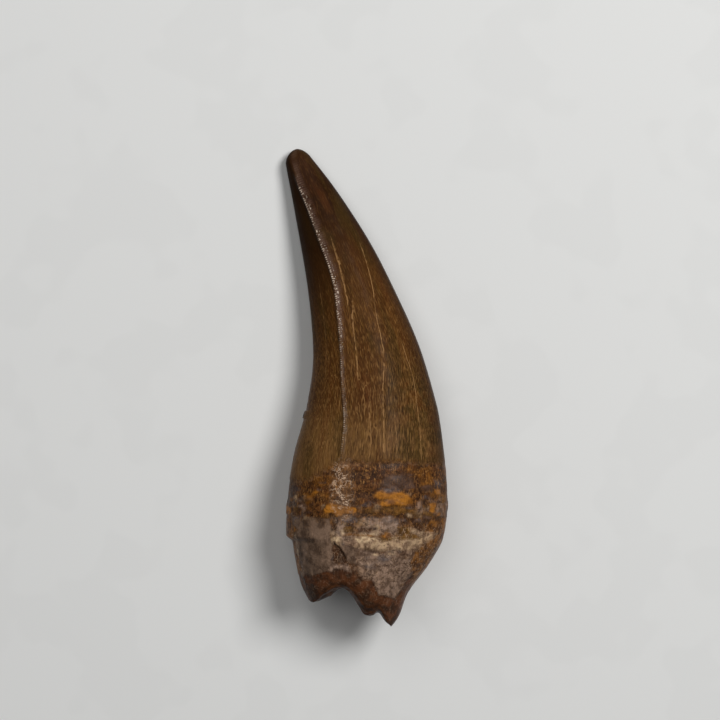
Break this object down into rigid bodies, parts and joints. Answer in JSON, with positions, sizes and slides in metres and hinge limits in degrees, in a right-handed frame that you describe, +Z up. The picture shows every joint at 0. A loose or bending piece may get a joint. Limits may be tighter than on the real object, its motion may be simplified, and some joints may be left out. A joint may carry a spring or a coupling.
{
  "type": "fossil tyrannosaur tooth",
  "caption": "Curved conical fossil tooth with finely saw-edged cutting ridges, a glossy crown and a ragged broken root, lying on its side.",
  "frame": {"origin": "middle of the tooth's bounding box, on the plane that it rests on", "axes": "+Z up, +Y from the broken root toward the tip, +X toward the outer, convex side of the curve; the tooth lies on its hidden side"},
  "size_m": [0.0406, 0.1178, 0.0289],
  "materials": {
    "fossil_tooth": "polished, semi-gloss fossil enamel over mottled root dentine"
  },
  "bodies": {
    "root": {"tooth": "fossil_tooth"}
  },
  "joints": []
}
